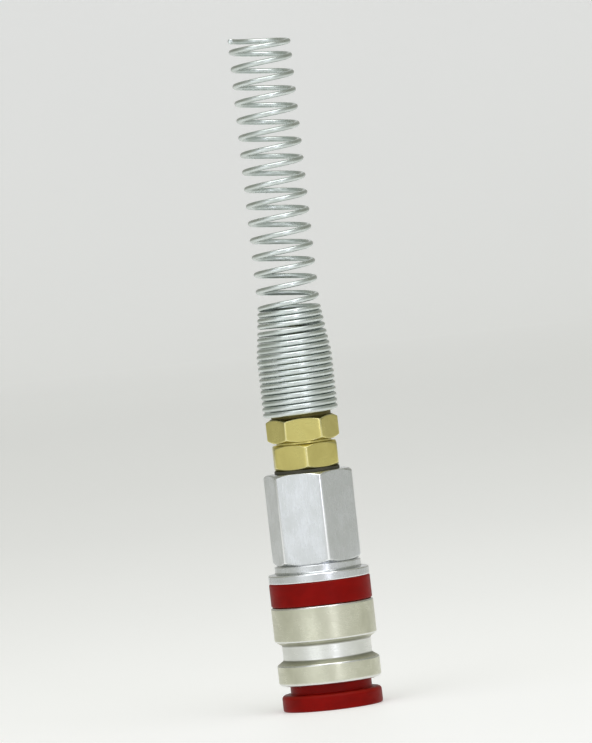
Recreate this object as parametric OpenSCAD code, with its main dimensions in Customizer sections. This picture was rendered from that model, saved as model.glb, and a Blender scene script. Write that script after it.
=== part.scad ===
// Quick disconnect coupler for compressed air, with its brass hose connector, union nut and
// kink protection spring. The mouth faces down and the hose leaves upwards along +Z.
// The origin is the centre of the mouth's front face. All threads are plain cylinders.

/* [Front collar] */
// Radius of the front collar's flange
collar_r = 11.8; // [11.4:0.1:12.0]
// Height of the flange, from the mouth face to its rear face
flange_h = 3.9; // [3.4:0.1:3.9]
// Radius of the neck that runs into the sleeve
neck_r = 9.6; // [9.2:0.1:9.7]

/* [Release sleeve] */
// Outer radius of the sleeve
sleeve_r = 12.1; // [11.8:0.1:12.6]
// Height of the sleeve's front face at rest
sleeve_z0 = 6.1; // [6.1:0.1:6.4]
// Height of the sleeve's rear face at rest
sleeve_z1 = 24.7; // [24.6:0.1:24.7]
// Radius at the bottom of the finger groove
grip_r = 10.5; // [10.5:0.1:11.2]
// How far the sleeve is pushed forward to release the plug
sleeve_travel = 2.1; // [1.8:0.1:2.1]

/* [Ball lock] */
// Radius of one locking ball
ball_r = 1.75; // [1.6:0.05:1.75]
// Height of the ring of balls
ball_z = 11; // [10.9:0.1:11.1]
// Distance of a locked ball's centre from the axis
ball_locked_r = 6.5; // [6.45:0.05:6.55]
// How far a ball moves outwards when it lets the plug go
ball_travel = 1.4; // [1.3:0.05:1.4]
// Radius of the bore that guides the plug
mouth_r = 6.1; // [6.05:0.05:6.15]

/* [Valve] */
// Radius of the nose bore that the plug seals in
nose_bore_r = 5.1; // [5:0.05:5.15]
// Radius of the valve chamber
chamber_r = 7; // [6.9:0.05:7.1]
// Height of the valve seat
seat_z = 18; // [18:0.1:18.2]

/* [Rear body] */
// Width across the flats of the long steel hexagon
hex_af = 19; // [18.6:0.1:20]
// Height where the hexagon starts
hex_z0 = 34.2; // [34:0.1:35]
// Height where the hexagon ends
hex_z1 = 55.8; // [55:0.1:56]
// Radius of the coloured band
band_r = 11.95; // [11.8:0.05:12.1]

/* [Hose connector and nut] */
// Width across the flats of both brass hexagons
brass_af = 15; // [14.5:0.1:15.5]
// Radius of the tail that the hose is pushed on
tail_r = 4.15; // [4:0.05:4.2]
// Radius of the air bore
air_r = 3; // [2.95:0.05:3.1]

/* [Kink protection spring] */
// Diameter of the spring wire
wire_d = 1.3; // [1.1:0.05:1.3]
// Outer radius of the closely wound part
tight_r = 8.9; // [8.9:0.05:9.2]
// Outer radius of the openly wound part
open_r = 7.4; // [7.4:0.05:7.8]
// Turns in the closely wound cylinder
tight_turns = 10; // [8:1:12]
// Turns in the closely wound cone
cone_turns = 8; // [6:1:9]
// Turns in the open part
open_turns = 15; // [10:1:17]
// Rise of one closely wound turn
tight_pitch = 1.36; // [1.36:0.02:1.5]
// Rise of one open turn
open_pitch = 4.05; // [3.5:0.05:4.3]

/* [Hidden] */

$fn = 96;
eps = 0.01;            // overcut that keeps cutting faces apart
slide_gap = 0.1;       // radial clearance of the sleeve on the body
rest_gap = 0.1;        // axial clearance at the sleeve's two stops
ball_gap = 0.05;       // clearance between a ball and what holds it
ball_seat_gap = 0.02;  // clearance between a ball and the taper of its hole
ball_count = 6;

// Socket body: nose, ball holes, sleeve guide and rear thread
body_r = 7.95;         // guide for the sleeve
body_z0 = 0.8;         // recessed behind the collar's face
body_z1 = 31;
body_thread_r = 9;
body_thread_z = 24.1;
guide_z1 = 8.6;        // end of the plug guide, start of the ball zone
ball_zone_r = 6.3;
nose_z = 13;           // start of the nose bore
nose_chamfer = 1;
lead_in = 0.6;
seal_groove_z = 15;
seal_groove_w = 2.2;
seal_groove_r = 6.9;
clip_z = 13.4;         // groove of the spring seat ring
clip_t = 1;
clip_groove_r = 7.3;

// Front collar
neck_z1 = 7;
edge_round = 0.9;

// Sleeve: outside
front_rim_z = 10.9;
groove_z0 = 12;
groove_z1 = 15.6;
rear_rim_z = 16.6;
edge_break = 0.5;
front_round = 0.8;
// Sleeve: inside, from the front opening over the land and the ramp to the spring pocket
front_bore_r = 9.9;
land_r = body_r + slide_gap;
land_z0 = neck_z1 + sleeve_travel + rest_gap;
pocket_r = 9.75;
ramp_slope = ball_travel / sleeve_travel;
ramp_angle = atan(ramp_slope);
// The ramp runs beside the ball's path, one ball radius and the clearance away from it
ramp_touch_z = ball_z - (ball_r + ball_gap) * sin(ramp_angle);
ramp_touch_r = ball_locked_r + (ball_r + ball_gap) * cos(ramp_angle);
ramp_z0 = ramp_touch_z + (land_r - ramp_touch_r) / ramp_slope;
ramp_z1 = ramp_touch_z + (pocket_r - ramp_touch_r) / ramp_slope;
ring_groove_r = 10.15;

// Sleeve spring and what holds it
clip_r = 9.5;
sleeve_spring_z0 = clip_z + clip_t;
sleeve_spring_z1 = 21.8;
sleeve_spring_wire = 0.9;
sleeve_spring_r = 8.85;
sleeve_spring_turns = 4;
washer_t = 0.8;
washer_r0 = 8.2;
washer_r1 = 9.6;
ring_z = sleeve_spring_z1 + washer_t;
ring_t = 1;
ring_r0 = 8.4;

// Valve
seal_ring_r = 5.86;    // centre circle of the plug seal
seal_wire = 1;
valve_nose_z = 14;
valve_nose_r = 4.6;
valve_nose_bore = 3.6;
valve_head_r = 6.4;
valve_head_z1 = 20.8;
valve_seal_t = 0.9;
valve_seal_r = 6.3;
valve_lip = 0.02;      // gap of the closed valve seal
valve_stem_r = 1.5;
valve_stem_z1 = 35.2;
window_w = 2.4;
window_h = 2.6;
window_z = 15.1;
valve_spring_z1 = 33.9;
valve_spring_wire = 0.8;
valve_spring_r = 5.4;
valve_spring_turns = 6;
retainer_z1 = 35.6;
retainer_ring_r = 4.4;
hub_r = 2.6;
hub_bore_r = 1.55;
spoke_w = 1.6;
spoke_count = 3;

// Rear body
skirt_z0 = 24.9;
skirt_r = 10.6;
band_z0 = 24.8;
band_z1 = 30.3;
lip_r = 11.9;
lip_z1 = 32.3;
lip_edge = 0.3;
relief_r = 10.2;
passage_r = 5;
port_z = 41.5;
port_r = 6.58;
gasket_t = 1;
hex_chamfer0 = 1.7;
hex_chamfer1 = 1.2;
hex_turn = -15;        // degrees

// Hose connector and union nut
thread_seal_t = 0.8;
connector_z0 = 44;
connector_hex_z0 = hex_z1 + thread_seal_t;
connector_hex_z1 = 62.6;
connector_turn = 32;
thread_seal_r = 7.7;
nut_thread_r = 6.5;
nut_thread_gap = 0.05;
nut_thread_z1 = 68.3;
tail_z1 = 84;
tail_grooves = 3;
tail_groove_d = 0.45;
tail_groove_pitch = 3.2;
tail_groove_z = 73;
nut_z0 = 63.1;
nut_hex_z1 = 68.8;
nut_turn = 1;
nut_neck_r = 7.05;
nut_z1 = 76;
nut_shoulder_z = 68.6;
hose_r = 6.3;
brass_chamfer = 1.35;

// Kink protection spring
kink_z0 = 69.2;
kink_start = 0.48;     // where round the axis the wire starts, in turns from +X
waist_turn = 14;       // the turn of the cone that rises a little more
waist_gap = 0.5;
end_pitch = 2.7;
kink_steps = 12;       // rings to a turn
small_steps = 16;
wire_sides = 6;

function arc(cx, cy, r, a0, a1, n = 4) =
    [for (i = [0:n]) [cx + r * cos(a0 + (a1 - a0) * i / n), cy + r * sin(a0 + (a1 - a0) * i / n)]];

module turned(points) rotate_extrude() polygon(points);

module tube(r0, r1, z0, z1)
    turned([[r0, z0], [r1, z0], [r1, z1], [r0, z1]]);

// Hexagonal prism whose corners are chamfered at both ends
module hexagon(af, z0, z1, chamfer0, chamfer1, turn) {
    corner = af / 2 / cos(30);
    rotate(turn) intersection() {
        translate([0, 0, z0]) cylinder(r = corner, h = z1 - z0, $fn = 6);
        turned([[0, z0], [corner - chamfer0, z0], [corner + eps, z0 + chamfer0 * tan(30)],
            [corner + eps, z1 - chamfer1 * tan(30)], [corner - chamfer1, z1], [0, z1]]);
    }
}

// Wire swept along a list of [turn, radius, height] stations, one ring of points each
module coil(stations, wire_r) {
    sides = wire_sides;
    last = len(stations) - 1;
    points = [for (s = stations) for (i = [0:sides - 1])
        let (a = 360 * (i + 0.5) / sides, r = s[1] + wire_r * cos(a))
            [r * cos(360 * s[0]), r * sin(360 * s[0]), s[2] + wire_r * sin(a)]];
    skin = [for (k = [0:last - 1]) for (i = [0:sides - 1])
        let (j = (i + 1) % sides)
            [k * sides + i, k * sides + j, (k + 1) * sides + j, (k + 1) * sides + i]];
    near = [for (i = [0:sides - 1]) sides - 1 - i];
    far = [for (i = [0:sides - 1]) last * sides + i];
    polyhedron(points, concat(skin, [near, far]));
}

// A plain compression spring between two flat seats
module compression_spring(r, wire, z0, z1, turns) {
    steps = turns * small_steps;
    rise = z1 - z0 - wire;
    coil([for (k = [0:steps]) [k / small_steps, r, z0 + wire / 2 + rise * k / steps]], wire / 2);
}

module front_collar() color("firebrick") turned(concat(
    [[mouth_r + lead_in + 0.5, 0]],
    arc(collar_r - edge_break, edge_break, edge_break, -90, 0),
    arc(collar_r - edge_round, flange_h - edge_round, edge_round, 0, 90),
    [[neck_r, flange_h], [neck_r, neck_z1], [body_r, neck_z1], [body_r, body_z0],
        [mouth_r + lead_in, body_z0]]));

// Radial hole whose inner end tapers, so that the ball can't fall into the bore
module ball_hole() {
    reach = ball_r + ball_seat_gap;
    half = asin((ball_locked_r - ball_zone_r) / reach);
    neck = reach * cos(half);
    depth = 0.8;
    inner = ball_zone_r - depth;
    taper_end = ball_zone_r + (ball_r + ball_gap - neck) / tan(half);
    translate([0, 0, ball_z]) rotate([0, 90, 0]) {
        translate([0, 0, inner])
            cylinder(r1 = neck - depth * tan(half), r2 = ball_r + ball_gap, h = taper_end - inner);
        translate([0, 0, taper_end - eps])
            cylinder(r = ball_r + ball_gap, h = body_r + 1 - taper_end);
    }
}

module socket_body() color("lightsteelblue") difference() {
    turned([[mouth_r + lead_in, body_z0], [body_r, body_z0],
        [body_r, clip_z], [clip_groove_r, clip_z], [clip_groove_r, clip_z + clip_t],
        [body_r, clip_z + clip_t], [body_r, body_thread_z], [body_thread_r, body_thread_z],
        [body_thread_r, body_z1], [chamber_r, body_z1], [chamber_r, seat_z],
        [nose_bore_r, seat_z], [nose_bore_r, seal_groove_z + seal_groove_w],
        [seal_groove_r, seal_groove_z + seal_groove_w], [seal_groove_r, seal_groove_z],
        [nose_bore_r, seal_groove_z], [nose_bore_r, nose_z + nose_chamfer],
        [nose_bore_r + nose_chamfer, nose_z], [ball_zone_r, nose_z], [ball_zone_r, guide_z1],
        [mouth_r, guide_z1], [mouth_r, body_z0 + lead_in]]);
    for (i = [0:ball_count - 1]) rotate(i * 360 / ball_count) ball_hole();
}

module release_sleeve() color("silver") turned(concat(
    [[front_bore_r, sleeve_z0]],
    arc(sleeve_r - front_round, sleeve_z0 + front_round, front_round, -90, 0),
    arc(sleeve_r - edge_break, front_rim_z - edge_break, edge_break, 0, 50),
    [[grip_r, groove_z0], [grip_r, groove_z1]],
    arc(sleeve_r - edge_break, rear_rim_z + edge_break, edge_break, -50, 0),
    arc(sleeve_r - edge_break, sleeve_z1 - edge_break, edge_break, 0, 90),
    [[pocket_r, sleeve_z1], [pocket_r, ring_z + ring_t], [ring_groove_r, ring_z + ring_t],
        [ring_groove_r, ring_z], [pocket_r, ring_z], [pocket_r, ramp_z1],
        [land_r, ramp_z0], [land_r, land_z0], [front_bore_r, land_z0]]));

// Snap ring with a gap, so that it can be opened or squeezed
module split_ring(r0, r1, z0, z1, gap) difference() {
    tube(r0, r1, z0, z1);
    translate([0, -gap / 2, z0 - 1]) cube([r1 + 1, gap, z1 - z0 + 2]);
}

module sleeve_retaining_ring() color("dimgray")
    split_ring(ring_r0, ring_groove_r, ring_z, ring_z + ring_t, 3.2);

module thrust_washer() color("gainsboro")
    tube(washer_r0, washer_r1, sleeve_spring_z1, sleeve_spring_z1 + washer_t);

module sleeve_spring() color("slategray") compression_spring(sleeve_spring_r,
    sleeve_spring_wire, sleeve_spring_z0, sleeve_spring_z1, sleeve_spring_turns);

module spring_seat_ring() color("dimgray")
    split_ring(clip_groove_r, clip_r, clip_z, clip_z + clip_t, 2.4);

module locking_ball(i) color("gray")
    rotate((i - 1) * 360 / ball_count) translate([ball_locked_r, 0, ball_z]) sphere(ball_r);

module plug_seal() color("darkgreen")
    translate([0, 0, seal_groove_z + seal_groove_w / 2]) rotate_extrude()
        translate([seal_ring_r, 0]) circle(seal_wire, $fn = 32);

module valve_poppet() color("darkkhaki") difference() {
    turned([[valve_nose_bore, valve_nose_z], [valve_nose_r, valve_nose_z],
        [valve_nose_r, seat_z + valve_lip + valve_seal_t],
        [valve_head_r, seat_z + valve_lip + valve_seal_t], [valve_head_r, valve_head_z1],
        [valve_stem_r, valve_head_z1], [valve_stem_r, valve_stem_z1], [0, valve_stem_z1],
        [0, seat_z + valve_lip], [valve_nose_bore, seat_z + valve_lip]]);
    for (a = [0, 90]) rotate(a) translate([-valve_head_r, -window_w / 2, window_z])
        cube([2 * valve_head_r, window_w, window_h]);
}

module valve_seal() color("black") tube(valve_nose_r, valve_seal_r,
    seat_z + valve_lip, seat_z + valve_lip + valve_seal_t);

module valve_spring() color("slategray") compression_spring(valve_spring_r,
    valve_spring_wire, valve_head_z1, valve_spring_z1, valve_spring_turns);

module valve_spring_retainer() color("burlywood") {
    h = retainer_z1 - valve_spring_z1;
    tube(retainer_ring_r, chamber_r, valve_spring_z1, retainer_z1);
    tube(hub_bore_r, hub_r, valve_spring_z1, retainer_z1);
    for (i = [0:spoke_count - 1]) rotate(i * 360 / spoke_count)
        translate([hub_r - 0.3, -spoke_w / 2, valve_spring_z1])
            cube([retainer_ring_r - hub_r + 0.6, spoke_w, h]);
}

module rear_body() color("lightgray") difference() {
    union() {
        turned([[0, skirt_z0], [skirt_r, skirt_z0], [skirt_r, band_z1],
            [lip_r - lip_edge, band_z1], [lip_r, band_z1 + lip_edge],
            [lip_r, lip_z1 - lip_edge], [lip_r - lip_edge, lip_z1],
            [relief_r, lip_z1 + lip_edge], [relief_r, hex_z0 + eps], [0, hex_z0 + eps]]);
        hexagon(hex_af, hex_z0, hex_z1, hex_chamfer0, hex_chamfer1, hex_turn);
    }
    translate([0, 0, skirt_z0 - 1])
        cylinder(r = body_thread_r, h = body_z1 + gasket_t - skirt_z0 + 1);
    translate([0, 0, body_z1]) cylinder(r = chamber_r, h = retainer_z1 - body_z1);
    translate([0, 0, body_z1]) cylinder(r = passage_r, h = hex_z1 - body_z1 + 1);
    translate([0, 0, port_z]) cylinder(r = port_r, h = hex_z1 - port_z + 1);
}

module body_seal() color("black") tube(chamber_r, body_thread_r, body_z1, body_z1 + gasket_t);

module rear_band() color("firebrick") turned(concat([[skirt_r, band_z0]],
    arc(band_r - 0.4, band_z0 + 0.4, 0.4, -90, 0), arc(band_r - 0.4, band_z1 - 0.4, 0.4, 0, 90),
    [[skirt_r, band_z1]]));

module thread_seal() color("black")
    tube(port_r, thread_seal_r, hex_z1, connector_hex_z0);

module hose_connector() color("goldenrod") difference() {
    union() {
        translate([0, 0, connector_z0])
            cylinder(r = port_r, h = connector_hex_z0 - connector_z0 + eps);
        hexagon(brass_af, connector_hex_z0, connector_hex_z1, brass_chamfer, brass_chamfer,
            connector_turn);
        translate([0, 0, connector_hex_z1 - eps])
            cylinder(r = nut_thread_r, h = nut_thread_z1 - connector_hex_z1 + eps);
        turned(concat([[0, nut_thread_z1 - eps], [tail_r, nut_thread_z1 - eps]],
            [for (i = [0:tail_grooves - 1]) let (z = tail_groove_z + i * tail_groove_pitch)
                each [[tail_r, z - 0.5], [tail_r - tail_groove_d, z], [tail_r, z + 0.5]]],
            [[tail_r, tail_z1 - 0.8], [tail_r - 0.5, tail_z1], [0, tail_z1]]));
    }
    translate([0, 0, connector_z0 - 1]) cylinder(r = air_r, h = tail_z1 - connector_z0 + 2);
}

module union_nut() color("gold") difference() {
    union() {
        hexagon(brass_af, nut_z0, nut_hex_z1, brass_chamfer, brass_chamfer, nut_turn);
        turned([[0, nut_hex_z1 - eps], [nut_neck_r, nut_hex_z1 - eps],
            [nut_neck_r, nut_z1 - 0.6], [nut_neck_r - 0.6, nut_z1], [0, nut_z1]]);
    }
    translate([0, 0, nut_z0 - 1])
        cylinder(r = nut_thread_r + nut_thread_gap, h = nut_shoulder_z - nut_z0 + 1);
    translate([0, 0, nut_shoulder_z - 1])
        cylinder(r = hose_r, h = nut_z1 - nut_shoulder_z + 2);
}

// Close cylinder, close cone, open coils and one closing turn, as one continuous wire
function kink_r(t) =
    let (wide = tight_r - wire_d / 2, slim = open_r - wire_d / 2, u = (t - tight_turns) / cone_turns)
        u < 0 ? wide : u > 1 ? slim : wide + (slim - wide) * u;
function kink_z(t) =
    let (close = tight_turns + cone_turns, spread = close + open_turns)
        kink_z0 + wire_d / 2 + tight_pitch * min(t, close)
            + waist_gap * max(0, min(t - waist_turn, 1))
            + open_pitch * max(0, min(t, spread) - close) + end_pitch * max(0, t - spread);

module kink_spring() color("lightslategray") {
    steps = (tight_turns + cone_turns + open_turns + 1) * kink_steps;
    coil([for (k = [0:steps]) let (t = k / kink_steps) [kink_start + t, kink_r(t), kink_z(t)]],
        wire_d / 2);
}

front_collar();
socket_body();
release_sleeve();
sleeve_retaining_ring();
thrust_washer();
sleeve_spring();
spring_seat_ring();
locking_ball(1);  // locking_ball_1
locking_ball(2);  // locking_ball_2
locking_ball(3);  // locking_ball_3
locking_ball(4);  // locking_ball_4
locking_ball(5);  // locking_ball_5
locking_ball(6);  // locking_ball_6
plug_seal();
valve_poppet();
valve_seal();
valve_spring();
valve_spring_retainer();
rear_body();
body_seal();
rear_band();
thread_seal();
hose_connector();
union_nut();
kink_spring();
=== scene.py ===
import math

import bpy
from mathutils import Matrix, Vector

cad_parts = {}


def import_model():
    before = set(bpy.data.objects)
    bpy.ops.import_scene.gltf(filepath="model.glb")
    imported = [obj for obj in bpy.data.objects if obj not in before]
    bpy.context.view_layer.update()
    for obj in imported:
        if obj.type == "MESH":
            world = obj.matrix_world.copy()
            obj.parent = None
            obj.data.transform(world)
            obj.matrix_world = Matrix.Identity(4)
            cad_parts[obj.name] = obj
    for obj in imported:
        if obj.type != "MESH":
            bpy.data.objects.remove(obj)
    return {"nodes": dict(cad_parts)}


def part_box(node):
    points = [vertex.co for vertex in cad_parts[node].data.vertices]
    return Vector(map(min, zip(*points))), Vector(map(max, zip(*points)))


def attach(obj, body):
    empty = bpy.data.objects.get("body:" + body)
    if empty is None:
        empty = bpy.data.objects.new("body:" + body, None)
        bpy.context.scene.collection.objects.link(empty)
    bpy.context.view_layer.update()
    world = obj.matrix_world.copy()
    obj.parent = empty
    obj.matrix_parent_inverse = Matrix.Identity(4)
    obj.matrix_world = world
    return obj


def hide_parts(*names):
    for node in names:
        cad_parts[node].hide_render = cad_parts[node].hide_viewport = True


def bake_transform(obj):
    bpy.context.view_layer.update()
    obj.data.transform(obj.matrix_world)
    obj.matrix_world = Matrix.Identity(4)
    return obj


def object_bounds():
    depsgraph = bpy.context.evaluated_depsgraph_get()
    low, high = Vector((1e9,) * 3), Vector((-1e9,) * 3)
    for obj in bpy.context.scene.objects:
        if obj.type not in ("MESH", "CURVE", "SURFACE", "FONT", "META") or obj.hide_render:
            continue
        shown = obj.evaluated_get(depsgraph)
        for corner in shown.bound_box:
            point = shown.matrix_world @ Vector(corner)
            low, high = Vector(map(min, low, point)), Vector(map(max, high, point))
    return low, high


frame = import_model()
cad_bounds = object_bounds()

MM = 0.001
TURNED_STEPS = 144     # faces round a turned piece
ARC_STEPS = 5          # faces across a rounded edge


# ---------------------------------------------------------------- sizes, in millimetres

def span(node):
    """(lowest z, highest z, radius) of a CAD node in millimetres."""
    low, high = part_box(node)
    return low.z / MM, high.z / MM, max(high.x, -low.x) / MM


COLLAR_Z0, COLLAR_Z1, COLLAR_R = span("front_collar")
BODY_Z0, _, BODY_THREAD_R = span("socket_body")
SLEEVE_Z0, SLEEVE_Z1, SLEEVE_R = span("release_sleeve")
BAND_Z0, BAND_Z1, BAND_R = span("rear_band")
REAR_Z0, REAR_Z1, LIP_R = span("rear_body")
RING_Z0, RING_Z1, RING_R = span("sleeve_retaining_ring")
WASHER_Z0, _, _ = span("thrust_washer")
_, CLIP_Z1, _ = span("spring_seat_ring")
GASKET_Z0, GASKET_Z1, GASKET_R = span("thread_seal")
CONNECTOR_Z0, TAIL_Z1, _ = span("hose_connector")
NUT_Z0, NUT_Z1, _ = span("union_nut")
KINK_Z0, _, _ = span("kink_spring")

# Sizes inside a node's box, the same as in part.scad
BODY_R = 7.95          # the sleeve's guide on the socket body
MOUTH_R = 6.1
FLANGE_H = 3.9
NECK_R = 9.6
GRIP_R = 10.5          # bottom of the sleeve's finger groove
FRONT_RIM_Z, GROOVE_Z0, GROOVE_Z1, REAR_RIM_Z = 10.95, 12.0, 15.6, 16.6   # its outline
POCKET_R = 9.75        # the sleeve's spring pocket
FRONT_BORE_R = 9.9
LAND_R = 8.05          # inside the sleeve, where it locks the balls
LAND_Z = 9.2
RAMP_Z0, RAMP_Z1 = 10.08, 12.64
SKIRT_R = 10.6
CHAMBER_R = 7
PASSAGE_R = 5
BODY_SEAL_Z1 = 32
RETAINER_Z1 = 35.6
RELIEF_R = 10.2
LIP_Z1 = 32.3
HEX_Z0 = 34.2
HEX_AF = 19
PORT_R = 6.58
PORT_Z = 41.5
BRASS_AF = 15
CONNECTOR_HEX_Z1 = 62.6
NUT_THREAD_R = 6.5
NUT_THREAD_Z1 = 68.3
NUT_HEX_Z1 = 68.8
NUT_NECK_R = 7.05
NUT_SHOULDER_Z = 68.6
HOSE_R = 6.3
TAIL_R = 4.15
TAIL_GROOVES, TAIL_GROOVE_Z, TAIL_GROOVE_PITCH, TAIL_GROOVE_D = 3, 73, 3.2, 0.45
AIR_R = 3.0
PIPE_PITCH, PIPE_DEPTH = 1.337, 0.75      # thread of the port
NUT_PITCH, NUT_DEPTH = 1.0, 0.55          # thread under the union nut
HEX_CHAMFER0, HEX_CHAMFER1 = 1.7, 1.2
BRASS_CHAMFER = 1.35
HEX_TURN, CONNECTOR_TURN, NUT_TURN = -15, 32, 1      # degrees
WIRE_R, TIGHT_R, OPEN_R = 0.65, 8.9, 7.4              # of the kink spring
CLOSE_TURNS, CONE_TURNS, OPEN_TURNS, WAIST_TURN = 10, 8, 15, 14
CLOSE_PITCH, OPEN_PITCH, END_PITCH, WAIST_GAP = 1.36, 4.05, 2.7, 0.5
KINK_START = 0.48      # where round the axis its wire starts, in turns


# ---------------------------------------------------------------- mesh helpers

def linked(name, mesh):
    piece = bpy.data.objects.new(name, mesh)
    bpy.context.scene.collection.objects.link(piece)
    return piece


def marked(piece, name, share):
    """Stores share(r, z), from 0 to 1, on each point of a turned piece as an attribute."""
    layer = piece.data.attributes.new(name, "FLOAT", "POINT")
    layer.data.foreach_set("value", [share(math.hypot(v.co.x, v.co.y) / MM, v.co.z / MM)
                                     for v in piece.data.vertices])


def made(name, points, faces, edge=None):
    """A smooth mesh from points in millimetres. edge is 1 on a point at a worn edge, else 0; on the
    zinc body it also carries a painted highlight.
    """
    mesh = bpy.data.meshes.new(name)
    mesh.from_pydata([(x * MM, y * MM, z * MM) for x, y, z in points], [], faces)
    mesh.validate()
    for polygon in mesh.polygons:
        polygon.use_smooth = True
    edge_wear_and_highlight = mesh.attributes.new("edge", "FLOAT", "POINT")
    edge_wear_and_highlight.data.foreach_set("value", list(edge) if edge else [0.0] * len(points))
    mesh.update()
    return linked(name, mesh)


def signed_area(corners):
    return sum(a[0] * b[1] - b[0] * a[1] for a, b in zip(corners, corners[1:] + corners[:1])) / 2


def rounded(corners, steps=ARC_STEPS):
    """Turns a closed outline of (r, z, fillet) corners into (r, z, edge) points.

    Each fillet becomes an arc, with one more point close to each end of it, so that shading
    stays flat between arcs. Convex arcs are marked as worn edges, which also carry a painted
    highlight on the zinc body. Corners on the axis stay."""
    if signed_area(corners) < 0:
        corners = corners[::-1]
    out = []
    count = len(corners)
    for i, (r, z, fillet) in enumerate(corners):
        here = Vector((r, z))
        before = Vector(corners[i - 1][:2]) - here
        after = Vector(corners[(i + 1) % count][:2]) - here
        if r < 1e-6 or fillet <= 0 or before.length < 1e-6 or after.length < 1e-6:
            out.append((r, z, 0.0))
            continue
        a, b = before.normalized(), after.normalized()
        half = math.acos(max(-1, min(1, a.dot(b)))) / 2
        if half > math.radians(88):
            out.append((r, z, 0.0))
            continue
        setback = min(fillet / math.tan(half), 0.46 * before.length, 0.46 * after.length)
        fillet = setback * math.tan(half)
        centre = here + (a + b).normalized() * (fillet / math.sin(half))
        convex = (-a).cross(b) > 0
        start, end = here + a * setback, here + b * setback
        guard = 0.25 * setback
        out.append((*(start + a * min(guard, 0.04 * before.length)), 0.0))
        u, v = start - centre, end - centre
        turn = math.atan2(u.cross(v), u.dot(v))
        for k in range(steps + 1):
            angle = turn * k / steps
            c, s = math.cos(angle), math.sin(angle)
            spot = centre + Vector((u.x * c - u.y * s, u.x * s + u.y * c))
            worn = math.sin(math.pi * (k + 0.5) / (steps + 1)) if convex else 0.0
            out.append((spot.x, spot.y, worn))
        out.append((*(end + b * min(guard, 0.04 * after.length)), 0.0))
    return out


def evenly(steps):
    return [2 * math.pi * k / steps for k in range(steps)]


def denser_at_corners():
    """Angles round a hexagon whose corners are at 0, 60, ... degrees, closest near them."""
    near = [0, 0.4, 0.8, 1.3, 1.9, 2.7, 4]
    flat = [4 + 2.6 * k for k in range(1, 20)]
    sector = near + flat + [60 - a for a in reversed(near[1:])]
    return [math.radians(60 * i + a) for i in range(6) for a in sector]


def revolved(name, outline, angles=None, radius=None, closed=True, turn=0.0):
    """Revolves (r, z, edge) points round Z. radius(angle, r, z) may change a point's radius.

    It returns (r, edge). Points on the axis become one vertex each."""
    angles = angles or evenly(TURNED_STEPS)
    steps = len(angles)
    points, faces, edge, rings = [], [], [], []
    for r, z, worn in outline:
        if r < 1e-6:
            rings.append([len(points)])
            points.append((0, 0, z))
            edge.append(0.0)
            continue
        ring = []
        for angle in angles:
            at, mark = radius(angle, r, z) if radius else (r, 0.0)
            ring.append(len(points))
            points.append((at * math.cos(angle + turn), at * math.sin(angle + turn), z))
            edge.append(max(worn, mark))
        rings.append(ring)
    pairs = list(zip(rings, rings[1:] + rings[:1])) if closed else list(zip(rings, rings[1:]))
    for low, high in pairs:
        if len(low) == 1 and len(high) == 1:
            continue
        for k in range(steps):
            n = (k + 1) % steps
            if len(low) == 1:
                faces.append((low[0], high[n], high[k]))
            elif len(high) == 1:
                faces.append((low[k], low[n], high[0]))
            else:
                faces.append((low[k], low[n], high[n], high[k]))
    return made(name, points, faces, edge)


def turned(name, corners):
    return revolved(name, rounded(corners))


def hexagon_radius(flats, sharpness=42):
    """radius(angle) of a hexagon with slightly rounded corners, and how near a corner it is."""
    top = 2 ** (1 / sharpness)

    def radius(angle):
        cosines = [math.cos(angle - math.radians(30 + 60 * i)) for i in range(6)]
        nearest = max(cosines)
        total = sum((c / nearest) ** sharpness for c in cosines if c > 0) ** (1 / sharpness)
        return flats / 2 / (nearest * total), (total - 1) / (top - 1)
    return radius


def softer(a, b, k=0.07):
    """Smooth minimum of two radii, and how close to their crossing it is."""
    low, gap = min(a, b), abs(a - b)
    return low - k * math.log(1 + math.exp(-gap / k)), math.exp(-((gap / (2.2 * k)) ** 2))


def hexagonal(flats, z0, z1):
    """A radius function that cuts turned points between z0 and z1 down to a hexagon."""
    shape = hexagon_radius(flats)

    def radius(angle, r, z):
        if not z0 - 1e-6 <= z <= z1 + 1e-6 or r < 0.8 * flats / 2:
            return r, 0.0
        flat, corner = shape(angle)
        at, crossing = softer(r, flat)
        inside = r < flat
        return at, min(1.0, max(crossing, 0.0 if inside else corner))
    return radius


def stacked(z0, z1, flats, chamfer0, chamfer1):
    """Outline corners of a chamfered hexagonal bar, dense enough in z for its curved edges."""
    corner = flats / 2 / math.cos(math.radians(30))
    slope = math.tan(math.radians(30))
    steps, past = 9, 0.35      # past is how far the outline passes the hexagon's corners
    shares = [i / steps for i in range(steps)]
    out = [(corner - chamfer0 * (1 - u), z0 + chamfer0 * slope * u, 0.0) for u in shares]
    out += [(corner + past, z0 + (chamfer0 + past) * slope, 0.0)]
    out += [(corner + past, z1 - (chamfer1 + past) * slope, 0.0)]
    out += [(corner - chamfer1 * (1 - u), z1 - chamfer1 * slope * u, 0.0)
            for u in reversed(shares)]
    return out


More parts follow.
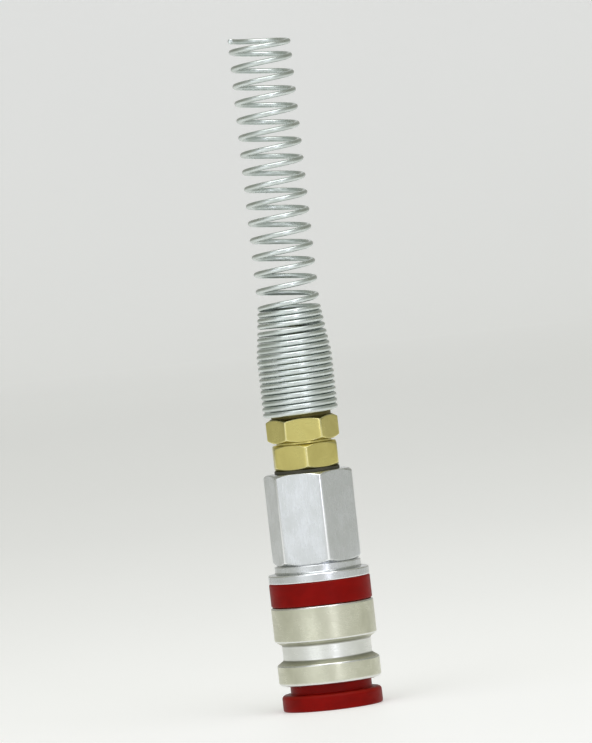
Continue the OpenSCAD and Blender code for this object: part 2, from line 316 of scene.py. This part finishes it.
def helix(name, path, wire_r, sides=12, steps_cap=3):
    """A round wire along path, a list of (angle, radius, z) in radians and millimetres."""
    spots = [Vector((r * math.cos(a), r * math.sin(a), z)) for a, r, z in path]
    points, faces = [], []
    last = len(spots) - 1

    def ring(centre, across, up, size):
        first = len(points)
        for i in range(sides):
            angle = 2 * math.pi * i / sides
            points.append(tuple(centre + across * (size * math.cos(angle))
                                + up * (size * math.sin(angle))))
        return first

    # (distance past the wire's end, radius) of the rings that round the end off
    dome = [(0.35 * wire_r * j / steps_cap,
             wire_r * math.sqrt(max(0.05, 1 - (j / (steps_cap + 0.6)) ** 2)))
            for j in range(1, steps_cap + 1)]
    rings = []
    for k, spot in enumerate(spots):
        along = (spots[min(k + 1, last)] - spots[max(k - 1, 0)]).normalized()
        out = Vector((math.cos(path[k][0]), math.sin(path[k][0]), 0))
        out = (out - along * out.dot(along)).normalized()
        up = along.cross(out)
        if k == 0:
            rings += [ring(spot - along * past, out, up, size) for past, size in reversed(dome)]
        rings.append(ring(spot, out, up, wire_r))
        if k == last:
            rings += [ring(spot + along * past, out, up, size) for past, size in dome]
    for low, high in zip(rings, rings[1:]):
        for i in range(sides):
            n = (i + 1) % sides
            faces.append((low + i, low + n, high + n, high + i))
    faces.append(tuple(range(rings[0] + sides - 1, rings[0] - 1, -1)))
    faces.append(tuple(range(rings[-1], rings[-1] + sides)))
    return made(name, points, faces)


def finished(piece, body, slot, material, *nodes):
    """Gives a new piece its material, hides the CAD nodes it stands for and gives it its body. slot
    is not used.
    """
    piece.data.materials.append(material)
    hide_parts(*nodes)
    if body:
        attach(piece, body)
    return piece


# ---------------------------------------------------------------- materials

class Nodes:
    """A material's node tree with short calls for what every finish here needs."""

    def __init__(self, name):
        self.material = bpy.data.materials.new(name)
        self.material.use_nodes = True
        self.tree = self.material.node_tree
        self.shader = self.tree.nodes["Principled BSDF"]

    def add(self, kind, values=None, links=None, **settings):
        node = self.tree.nodes.new(kind)
        for key, value in settings.items():
            setattr(node, key, value)
        for key, value in (values or {}).items():
            node.inputs[key].default_value = value
        for key, output in (links or {}).items():
            self.tree.links.new(output, node.inputs[key])
        return node

    def place(self, scale):
        """The object's own coordinates in millimetres, stretched by scale."""
        spot = self.add("ShaderNodeTexCoord").outputs["Object"]
        stretch = self.add("ShaderNodeMapping", {"Scale": [s / MM for s in scale]},
                           {"Vector": spot})
        return stretch.outputs["Vector"]

    def noise(self, scale, detail=3.0, roughness=0.55, distortion=0.0):
        """Noise from 0 to 1. scale is how many features there are to a millimetre along X, Y, Z."""
        node = self.add("ShaderNodeTexNoise", {"Scale": 1.0, "Detail": detail,
                                               "Roughness": roughness,
                                               "Distortion": distortion},
                        {"Vector": self.place(scale)})
        return node.outputs["Fac"]

    def ramp(self, value, low, high, start=0.0, end=1.0):
        """Maps value from low..high to start..end, held at both ends."""
        node = self.add("ShaderNodeMapRange", {"From Min": low, "From Max": high,
                                               "To Min": start, "To Max": end},
                        {"Value": value}, clamp=True)
        return node.outputs["Result"]

    def mix(self, share, a, b):
        """Mixes two colours. Each is a colour or an output; share is an output or a number."""
        node = self.add("ShaderNodeMix", data_type="RGBA")
        for key, value in ((0, share), (6, a), (7, b)):
            if isinstance(value, bpy.types.NodeSocket):
                self.tree.links.new(value, node.inputs[key])
            else:
                node.inputs[key].default_value = value if key == 0 else (*value, 1.0)
        return node.outputs[2]

    def maths(self, operation, a, b):
        node = self.add("ShaderNodeMath", operation=operation)
        for key, value in ((0, a), (1, b)):
            if isinstance(value, bpy.types.NodeSocket):
                self.tree.links.new(value, node.inputs[key])
            else:
                node.inputs[key].default_value = value
        return node.outputs[0]

    def mark(self, name):
        """One of the mesh's marks: edge is 1 at a worn edge, which on the zinc body is also a
        painted highlight; painted_shade is painted shade in a recess, and painted_highlight is a
        painted highlight in the sleeve's groove. Each is 0 elsewhere."""
        return self.add("ShaderNodeAttribute", attribute_name=name).outputs["Fac"]

    def bump(self, heights):
        """Chains bumps. heights is a list of (output, strength, distance in millimetres)."""
        normal = None
        for height, strength, distance in heights:
            node = self.add("ShaderNodeBump", {"Strength": strength, "Distance": distance * MM},
                            {"Height": height})
            if normal:
                self.tree.links.new(normal, node.inputs["Normal"])
            normal = node.outputs["Normal"]
        self.tree.links.new(normal, self.shader.inputs["Normal"])

    def finish(self, colour, roughness, metallic=0.0, **sockets):
        for key, value in (("Base Color", colour), ("Roughness", roughness)):
            if isinstance(value, bpy.types.NodeSocket):
                self.tree.links.new(value, self.shader.inputs[key])
            else:
                self.shader.inputs[key].default_value = value
        self.shader.inputs["Metallic"].default_value = metallic
        for key, value in sockets.items():
            self.shader.inputs[key.replace("_", " ")].default_value = value
        return self.material


def metal(name, base, shade, bright, rough, rings=(0.3, 0.3, 14), ring_depth=0.006,
          grain=0.35, edge_wear_and_highlight=0.8):
    """Plated or bare metal. base varies towards shade in soft patches, and worn edges are bright;
    on the zinc body that brightness is a painted highlight. A painted highlight lightens the
    sleeve's groove, and painted shade darkens recesses.

    rings is the scale of the tool marks: fine along Z and long round the piece when turned."""
    n = Nodes(name)
    patches = n.noise((0.22, 0.22, 0.16), detail=4, roughness=0.6, distortion=0.4)
    marks = n.noise(rings, detail=5, roughness=0.65)
    specks = n.noise((9, 9, 9), detail=2, roughness=0.5)
    colour = n.mix(n.ramp(patches, 0.35, 0.68), base, shade)
    colour = n.mix(n.ramp(marks, 0.45, 0.75, 0, 0.35), colour, shade)
    # worn edges lighten towards bright: wear, and with edge_wear_and_highlight at 1 on the zinc
    # body a painted highlight
    colour = n.mix(n.ramp(n.mark("edge"), 0.15, 0.9, 0, edge_wear_and_highlight), colour, bright)
    # painted highlight: the groove's colour is lifted towards bright
    colour = n.mix(n.ramp(n.mark("painted_highlight"), 0.2, 0.9, 0, 0.6), colour, bright)
    # painted shade: recesses darkened almost to black, with a little speckle
    painted_shade_share = n.maths("MULTIPLY", n.mark("painted_shade"), n.ramp(specks, 0.2, 0.6, 0.75, 0.95))
    colour = n.mix(painted_shade_share, colour, [0.12 * c for c in shade])
    uneven = n.maths("ADD", n.ramp(patches, 0.3, 0.7, rough * 0.8, rough * 1.25),
                     n.ramp(marks, 0.35, 0.7, -0.05, 0.07))
    polished = n.maths("SUBTRACT", uneven, n.ramp(n.mark("edge"), 0.2, 0.9, 0, rough * 0.35))
    n.bump([(marks, 0.5, ring_depth), (specks, grain, 0.004)])
    return n.finish(colour, n.maths("ADD", polished, n.ramp(painted_shade_share, 0, 1, 0, 0.3)), 1.0)


def plastic(name, base, shade, worn, rough):
    """Semi-gloss moulded plastic with a faint orange-peel skin, rubbed at its edges."""
    n = Nodes(name)
    clouds = n.noise((0.18, 0.18, 0.3), detail=3, distortion=0.5)
    skin = n.noise((2.2, 2.2, 2.2), detail=3, roughness=0.5)
    dust = n.noise((5, 5, 12), detail=6, roughness=0.7)
    colour = n.mix(n.ramp(clouds, 0.35, 0.7), base, shade)
    colour = n.mix(n.ramp(n.mark("edge"), 0.3, 1.0, 0, 0.4), colour, worn)
    colour = n.mix(n.ramp(dust, 0.66, 0.8, 0, 0.25), colour, worn)
    uneven = n.maths("ADD", n.ramp(skin, 0.3, 0.7, rough * 0.85, rough * 1.2),
                     n.ramp(dust, 0.5, 0.8, 0, 0.1))
    n.bump([(skin, 0.35, 0.02), (dust, 0.2, 0.006)])
    return n.finish(colour, uneven, 0.0, Specular_IOR_Level=0.08)


def rubber(name, base, shade):
    """Matt black elastomer with a fine grain."""
    n = Nodes(name)
    grain = n.noise((6, 6, 6), detail=4, roughness=0.6)
    bloom = n.noise((0.4, 0.4, 0.4), detail=3)
    colour = n.mix(n.ramp(bloom, 0.35, 0.7), base, shade)
    n.bump([(grain, 0.4, 0.012)])
    return n.finish(colour, n.ramp(grain, 0.3, 0.7, 0.5, 0.72), 0.0)


RED = plastic("red_plastic", (0.235, 0.0022, 0.0006), (0.18, 0.0018, 0.0005),
              (0.28, 0.016, 0.009), 0.4)
NICKEL = metal("nickel_plating", (0.655, 0.655, 0.53), (0.57, 0.57, 0.45),
               (0.88, 0.9, 0.92), 0.3, rings=(0.12, 0.12, 5), edge_wear_and_highlight=0.7)
# the zinc body's near-white edge colour at full strength paints a highlight on its hex edges
ZINC = metal("zinc_body", (0.645, 0.665, 0.68), (0.58, 0.60, 0.595), (0.95, 0.96, 0.97), 0.27,
             rings=(2.2, 2.2, 0.25), ring_depth=0.005, edge_wear_and_highlight=1.0)
ZINC_INNER = metal("zinc_plated_steel", (0.60, 0.60, 0.57), (0.50, 0.50, 0.47),
                   (0.75, 0.75, 0.72), 0.32)
BRASS = metal("brass_machined", (0.66, 0.59, 0.21), (0.57, 0.50, 0.17), (0.82, 0.77, 0.42),
              0.31)
BRASS_INNER = metal("brass_inner", (0.62, 0.47, 0.17), (0.50, 0.37, 0.14), (0.75, 0.62, 0.3),
                    0.28)
WIRE = metal("spring_wire", (0.70, 0.75, 0.74), (0.58, 0.63, 0.60), (0.88, 0.9, 0.9), 0.3,
             rings=(1.2, 1.2, 1.2), ring_depth=0.003)
SPRING_STEEL = metal("spring_steel", (0.36, 0.36, 0.37), (0.26, 0.26, 0.27),
                     (0.5, 0.5, 0.5), 0.34, rings=(1.5, 1.5, 1.5))
BALL_STEEL = metal("ball_steel", (0.74, 0.74, 0.74), (0.70, 0.70, 0.70), (0.8, 0.8, 0.8), 0.1,
                   rings=(0.6, 0.6, 0.6), ring_depth=0.001, grain=0.05)
SEAL = rubber("rubber_seal", (0.018, 0.018, 0.018), (0.03, 0.03, 0.028))
GASKET = rubber("dark_gasket", (0.045, 0.042, 0.024), (0.065, 0.06, 0.035))


# ---------------------------------------------------------------- pieces

def front_collar():
    corners = [(MOUTH_R + 1.1, COLLAR_Z0, 0.25), (COLLAR_R, COLLAR_Z0, 0.5),
               (COLLAR_R, FLANGE_H, 0.9), (NECK_R, FLANGE_H, 0.35), (NECK_R, COLLAR_Z1, 0.25),
               (BODY_R, COLLAR_Z1, 0.1), (BODY_R, BODY_Z0, 0), (MOUTH_R + 0.6, BODY_Z0, 0.05)]
    finished(turned("collar_front", corners), "root", "red_plastic", RED, "front_collar")


def release_sleeve():
    corners = [(FRONT_BORE_R, SLEEVE_Z0, 0.2), (SLEEVE_R, SLEEVE_Z0, 0.8),
               (SLEEVE_R, FRONT_RIM_Z, 0.5), (GRIP_R, GROOVE_Z0, 0.5), (GRIP_R, GROOVE_Z1, 0.5),
               (SLEEVE_R, REAR_RIM_Z, 0.5), (SLEEVE_R, SLEEVE_Z1, 0.45),
               (POCKET_R, SLEEVE_Z1, 0.15),
               (POCKET_R, RING_Z1, 0.05), (RING_R, RING_Z1, 0.08), (RING_R, RING_Z0, 0.08),
               (POCKET_R, RING_Z0, 0.05), (POCKET_R, RAMP_Z1, 0.25), (LAND_R, RAMP_Z0, 0.1),
               (LAND_R, LAND_Z, 0.1), (FRONT_BORE_R, LAND_Z, 0.2)]
    piece = turned("sleeve_release", corners)

    # painted highlight on the floor of the finger groove
    def painted_highlight(r, z):
        return 1.0 if r > GRIP_R - 0.1 and GROOVE_Z0 < z < GROOVE_Z1 else 0.0

    # painted shade where the groove's slopes meet its floor
    def painted_shade(r, z):
        return 0.5 if GRIP_R + 0.01 < r < GRIP_R + 0.4 and FRONT_RIM_Z < z < REAR_RIM_Z else 0.0

    marked(piece, "painted_highlight", painted_highlight)
    marked(piece, "painted_shade", painted_shade)
    finished(piece, "sleeve", "nickel_plating", NICKEL, "release_sleeve")


def rear_band():
    corners = [(SKIRT_R, BAND_Z0, 0.05), (BAND_R, BAND_Z0, 0.4), (BAND_R, BAND_Z1, 0.4),
               (SKIRT_R, BAND_Z1, 0.05)]
    finished(turned("band_rear", corners), "root", "red_plastic", RED, "rear_band")


def rear_body():
    hex_z = HEX_Z0 + 0.01
    bar = stacked(hex_z, REAR_Z1, HEX_AF, HEX_CHAMFER0, HEX_CHAMFER1)
    corners = [(BODY_THREAD_R, REAR_Z0, 0.1), (SKIRT_R, REAR_Z0, 0.1), (SKIRT_R, BAND_Z1, 0),
               (LIP_R, BAND_Z1, 0.3), (LIP_R, LIP_Z1, 0.35), (RELIEF_R, LIP_Z1 + 0.3, 0.35),
               (RELIEF_R, HEX_Z0, 0.15)] + bar + [
               (PORT_R + 0.4, REAR_Z1, 0.05), (PORT_R, REAR_Z1 - 0.4, 0.05),
               (PORT_R, PORT_Z, 0.2), (PASSAGE_R, PORT_Z, 0.1), (PASSAGE_R, RETAINER_Z1, 0.1),
               (CHAMBER_R, RETAINER_Z1, 0.1), (CHAMBER_R, BODY_SEAL_Z1, 0),
               (BODY_THREAD_R, BODY_SEAL_Z1, 0)]
    shape = hexagonal(HEX_AF, hex_z, REAR_Z1)
    piece = revolved("body_rear", rounded(corners), denser_at_corners(), shape,
                     turn=math.radians(HEX_TURN))
    finished(piece, "root", "zinc_body", ZINC, "rear_body")


def thread_seal():
    corners = [(PORT_R, GASKET_Z0, 0.04), (GASKET_R, GASKET_Z0, 0.15),
               (GASKET_R, GASKET_Z1, 0.15), (PORT_R, GASKET_Z1, 0.04)]
    finished(turned("seal_thread", corners), "root", "dark_gasket", GASKET, "thread_seal")


def threads(major, depth, pitch, z0, z1):
    """A radius function that cuts a helical thread into a plain cylinder."""
    def radius(angle, r, z):
        if not z0 <= z <= z1 or r < major - 0.01:
            return r, 0.0
        phase = (z / pitch - angle / (2 * math.pi)) % 1
        ends = min(1, (z - z0) / pitch, (z1 - z) / pitch)
        valley = 1 - abs(2 * phase - 1)
        return r - depth * max(0, ends) * min(1, max(0, 1.25 * valley - 0.12)), 0.0
    return radius


def rows(r, z0, z1, step):
    """Outline corners up a cylinder, close enough together for a thread."""
    count = max(2, round((z1 - z0) / step))
    return [(r, z0 + (z1 - z0) * i / count, 0) for i in range(count + 1)]


def hose_connector():
    port_thread = threads(PORT_R, PIPE_DEPTH, PIPE_PITCH, CONNECTOR_Z0 + 0.6, GASKET_Z0 - 1.5)
    nut_thread = threads(NUT_THREAD_R, NUT_DEPTH, NUT_PITCH, CONNECTOR_HEX_Z1 + 0.9,
                         NUT_THREAD_Z1 - 0.3)
    shape = hexagonal(BRASS_AF, GASKET_Z1 + 0.005, CONNECTOR_HEX_Z1 - 0.005)
    bar = stacked(GASKET_Z1 + 0.01, CONNECTOR_HEX_Z1 - 0.01, BRASS_AF, BRASS_CHAMFER,
                  BRASS_CHAMFER)

    def radius(angle, r, z):
        at, mark = shape(angle, r, z)
        if z < GASKET_Z0:
            at, mark = port_thread(angle, r, z)
        if z > CONNECTOR_HEX_Z1:
            at, mark = nut_thread(angle, r, z)
        return at, mark

    grooves = []
    for i in range(TAIL_GROOVES):
        z = TAIL_GROOVE_Z + TAIL_GROOVE_PITCH * i
        grooves += [(TAIL_R, z - 0.5, 0.08), (TAIL_R - TAIL_GROOVE_D, z, 0.1),
                    (TAIL_R, z + 0.5, 0.08)]
    corners = [(AIR_R, CONNECTOR_Z0, 0.2), (PORT_R - 0.5, CONNECTOR_Z0, 0.1)]
    corners += rows(PORT_R, CONNECTOR_Z0 + 0.5, GASKET_Z0 - 1.2, 0.17)
    corners += [(PORT_R, GASKET_Z1, 0)] + bar
    corners += [(NUT_THREAD_R, CONNECTOR_HEX_Z1, 0.1)]
    corners += rows(NUT_THREAD_R, CONNECTOR_HEX_Z1 + 0.8, NUT_THREAD_Z1 - 0.4, 0.13)
    corners += [(NUT_THREAD_R - 0.4, NUT_THREAD_Z1, 0.1), (TAIL_R, NUT_THREAD_Z1, 0.2)]
    corners += grooves
    corners += [(TAIL_R, TAIL_Z1 - 0.9, 0.1), (TAIL_R - 0.5, TAIL_Z1, 0.15),
                (AIR_R, TAIL_Z1, 0.15)]
    piece = revolved("connector_hose", rounded(corners), denser_at_corners(), radius,
                     turn=math.radians(CONNECTOR_TURN))
    finished(piece, "root", "brass_connector", BRASS, "hose_connector")


def union_nut():
    shape = hexagonal(BRASS_AF, NUT_Z0, NUT_HEX_Z1 - 0.005)
    bar = stacked(NUT_Z0, NUT_HEX_Z1 - 0.01, BRASS_AF, BRASS_CHAMFER, BRASS_CHAMFER)
    corners = [(NUT_THREAD_R + 0.35, NUT_Z0, 0.05)] + bar + [
               (NUT_NECK_R - 0.02, NUT_HEX_Z1, 0), (NUT_NECK_R, NUT_HEX_Z1 + 0.05, 0),
               (NUT_NECK_R, NUT_Z1 - 0.6, 0.2), (NUT_NECK_R - 0.5, NUT_Z1, 0.15),
               (HOSE_R, NUT_Z1, 0.3), (HOSE_R, NUT_SHOULDER_Z, 0.05),
               (NUT_THREAD_R + 0.05, NUT_SHOULDER_Z, 0.05),
               (NUT_THREAD_R + 0.05, NUT_Z0 + 0.3, 0.05)]
    piece = revolved("nut_union", rounded(corners), denser_at_corners(), shape,
                     turn=math.radians(NUT_TURN))

    # painted shade on the nut's neck and bore under the spring
    def painted_shade(r, z):
        return 1.0 if r < NUT_NECK_R + 0.3 and z > NUT_HEX_Z1 - 0.3 else 0.0

    marked(piece, "painted_shade", painted_shade)
    finished(piece, "root", "brass_nut", BRASS, "union_nut")


def kink_spring():
    wide, slim = TIGHT_R - WIRE_R, OPEN_R - WIRE_R
    close = CLOSE_TURNS + CONE_TURNS
    spread = close + OPEN_TURNS
    steps = 56             # rings to a turn
    path = []
    for k in range((spread + 1) * steps + 1):
        t = k / steps
        u = min(1, max(0, (t - CLOSE_TURNS) / CONE_TURNS))
        z = (KINK_Z0 + WIRE_R + CLOSE_PITCH * min(t, close)
             + WAIST_GAP * max(0, min(t - WAIST_TURN, 1))
             + OPEN_PITCH * max(0, min(t, spread) - close) + END_PITCH * max(0, t - spread))
        path.append((2 * math.pi * (t + KINK_START), wide + (slim - wide) * u, z))
    piece = helix("spring_kink", path, WIRE_R, sides=14)
    finished(piece, "root", "spring_wire", WIRE, "kink_spring")


def coil_path(r, wire, z0, z1, active, steps=48):
    """A compression spring's path: one closed turn at each end and active turns between."""
    closed = 1.03 * wire
    rise = (z1 - z0 - wire - 2 * closed) / active
    path = []
    for k in range((active + 2) * steps + 1):
        t = k / steps
        z = (z0 + wire / 2 + closed * min(t, 1) + rise * max(0, min(t - 1, active))
             + closed * max(0, t - 1 - active))
        path.append((2 * math.pi * t, r, z))
    return path


def inner_springs():
    z0, z1 = CLIP_Z1, WASHER_Z0
    piece = helix("spring_sleeve", coil_path(8.85, 0.9, z0, z1, 2), 0.45)
    finished(piece, None, "spring_steel", SPRING_STEEL, "sleeve_spring")
    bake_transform(piece)
    z0, z1, _ = span("valve_spring")
    piece = helix("spring_valve", coil_path(5.4, 0.8, z0, z1, 4), 0.4)
    finished(piece, None, "spring_steel", SPRING_STEEL, "valve_spring")
    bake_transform(piece)


def locking_balls():
    for i in range(1, 7):
        low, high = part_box(f"locking_ball_{i}")
        centre, r = (low + high) / 2 / MM, (high - low).z / 2 / MM
        outline = [(r * math.sin(math.pi * k / 28), -r * math.cos(math.pi * k / 28), 0)
                   for k in range(29)]
        piece = revolved(f"ball_lock_{i}", outline, evenly(56), closed=False)
        piece.location = centre * MM
        finished(piece, f"ball_{i}", "ball_steel", BALL_STEEL, f"locking_ball_{i}")


def plug_seal():
    low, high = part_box("plug_seal")
    r = (high - low).z / 2 / MM
    middle, centre = high.x / MM - r, (low.z + high.z) / 2 / MM
    outline = [(middle + r * math.cos(2 * math.pi * k / 24),
                centre + r * math.sin(2 * math.pi * k / 24), 0) for k in range(24)]
    finished(revolved("seal_plug", outline), "root", "rubber_seal", SEAL, "plug_seal")


def carried_over():
    """CAD nodes that stay as they are and get their finish."""
    finish = {"socket_body": ZINC_INNER, "thrust_washer": ZINC_INNER,
              "sleeve_retaining_ring": SPRING_STEEL, "spring_seat_ring": SPRING_STEEL,
              "valve_poppet": BRASS_INNER, "valve_spring_retainer": BRASS_INNER,
              "valve_seal": SEAL, "body_seal": SEAL}
    for node, material in finish.items():
        piece = frame["nodes"][node]
        piece.data.materials.clear()
        piece.data.materials.append(material)


# ---------------------------------------------------------------- stage, lights and camera

def sheet(name, profile, half):
    """Faces along profile, a list of (y, z) in metres, half wide to each side."""
    points = [(side, y, z) for y, z in profile for side in (-half, half)]
    faces = [(2 * k, 2 * k + 1, 2 * k + 3, 2 * k + 2) for k in range(len(profile) - 1)]
    mesh = bpy.data.meshes.new(name)
    mesh.from_pydata(points, [], faces)
    for polygon in mesh.polygons:
        polygon.use_smooth = True
    return linked(name, mesh)


def floor():
    """A wide pale floor, with a narrow backdrop that curves up far behind the object.

    The backdrop only fills the view from the front, so that the metal's sides reflect the
    darker world beside it."""
    reach, bend, rise, top, half = 12.0, 2.6, 0.6, 2.0, 0.45
    curve = [(bend + rise * math.sin(a), rise * (1 - math.cos(a)))
             for a in (math.pi / 2 * k / 16 for k in range(17))]
    ground = sheet("floor", [(-reach, 0.0), (reach, 0.0)], reach)
    backdrop = sheet("backdrop", curve + [(bend + rise, top)], half)
    n = Nodes("floor_paint")
    n.shader.inputs["Emission Color"].default_value = (1.0, 1.0, 1.0, 1.0)
    tone = n.noise((0.002, 0.002, 0.002), detail=2)
    colour = n.mix(n.ramp(tone, 0.3, 0.7), (0.88, 0.88, 0.87), (0.85, 0.85, 0.845))
    paint = n.finish(colour, 0.6, Emission_Strength=0.2)
    for piece in (ground, backdrop):
        piece.data.materials.append(paint)


def softbox(name, azimuth, height, distance, width, tall, power, colour=(1, 1, 1)):
    """An area light at azimuth degrees from the camera's side, aimed at the object's middle."""
    light = bpy.data.lights.new(name, "AREA")
    light.shape, light.size, light.size_y = "RECTANGLE", width, tall
    light.energy, light.color = power, colour
    lamp = bpy.data.objects.new(name, light)
    bpy.context.scene.collection.objects.link(lamp)
    a = math.radians(azimuth)
    lamp.location = (distance * math.sin(a), -distance * math.cos(a), height)
    aim = Vector((0, 0, 0.07)) - lamp.location
    lamp.rotation_euler = aim.to_track_quat("-Z", "Y").to_euler()


def lights():
    softbox("key", -33, 0.22, 0.8, 0.5, 0.6, 0.62, (0.92, 0.94, 1.0))
    softbox("strip", 22, 0.2, 0.8, 0.15, 0.55, 0.62, (0.88, 0.87, 1.0))
    softbox("top", 10, 1.1, 0.25, 0.9, 0.9, 5.5)


def world():
    """Soft light from all round, brightest in front of the object and darkest at its sides."""
    studio = bpy.data.worlds.new("studio")
    studio.use_nodes = True
    tree = studio.node_tree
    back = tree.nodes["Background"]
    spot = tree.nodes.new("ShaderNodeTexCoord")
    split = tree.nodes.new("ShaderNodeSeparateXYZ")
    ramp = tree.nodes.new("ShaderNodeValToRGB")
    shift = tree.nodes.new("ShaderNodeMapRange")
    shift.inputs["From Min"].default_value = -1.0
    tree.links.new(spot.outputs["Generated"], split.inputs["Vector"])
    tree.links.new(split.outputs["Y"], shift.inputs["Value"])
    tree.links.new(shift.outputs["Result"], ramp.inputs["Fac"])
    tree.links.new(ramp.outputs["Color"], back.inputs["Color"])
    stops = ramp.color_ramp
    stops.elements[0].color = (0.86, 0.88, 0.9, 1.0)
    stops.elements[1].color = (0.50, 0.50, 0.46, 1.0)
    for position, colour in ((0.2, (0.72, 0.73, 0.74, 1.0)), (0.45, (0.50, 0.51, 0.45, 1.0)),
                             (0.65, (0.35, 0.36, 0.30, 1.0))):
        stops.elements.new(position).color = colour
    back.inputs["Strength"].default_value = 0.85
    bpy.context.scene.world = studio
    bpy.context.scene.view_settings.view_transform = "Standard"


def camera():
    """A long lens, a little above the object's middle, rolled as the coupler hangs."""
    low, high = cad_bounds
    centre = (low + high) / 2
    elevation, roll, distance, margin = math.radians(2), math.radians(6.4), 2.0, 1.1
    data = bpy.data.cameras.new("camera")
    data.lens = data.sensor_width * distance / ((high - low).z * margin)
    data.clip_start, data.clip_end = 0.01, 20
    piece = bpy.data.objects.new("camera", data)
    bpy.context.scene.collection.objects.link(piece)
    back = Vector((0, -math.cos(elevation), math.sin(elevation)))
    piece.location = centre + back * distance
    turn = (-back).to_track_quat("-Z", "Y").to_matrix() @ Matrix.Rotation(-roll, 3, "Z")
    piece.rotation_euler = turn.to_euler()
    bpy.context.scene.camera = piece


camera()
floor()
lights()
world()
front_collar()
release_sleeve()
rear_band()
rear_body()
thread_seal()
hose_connector()
union_nut()
kink_spring()
inner_springs()
locking_balls()
plug_seal()
carried_over()
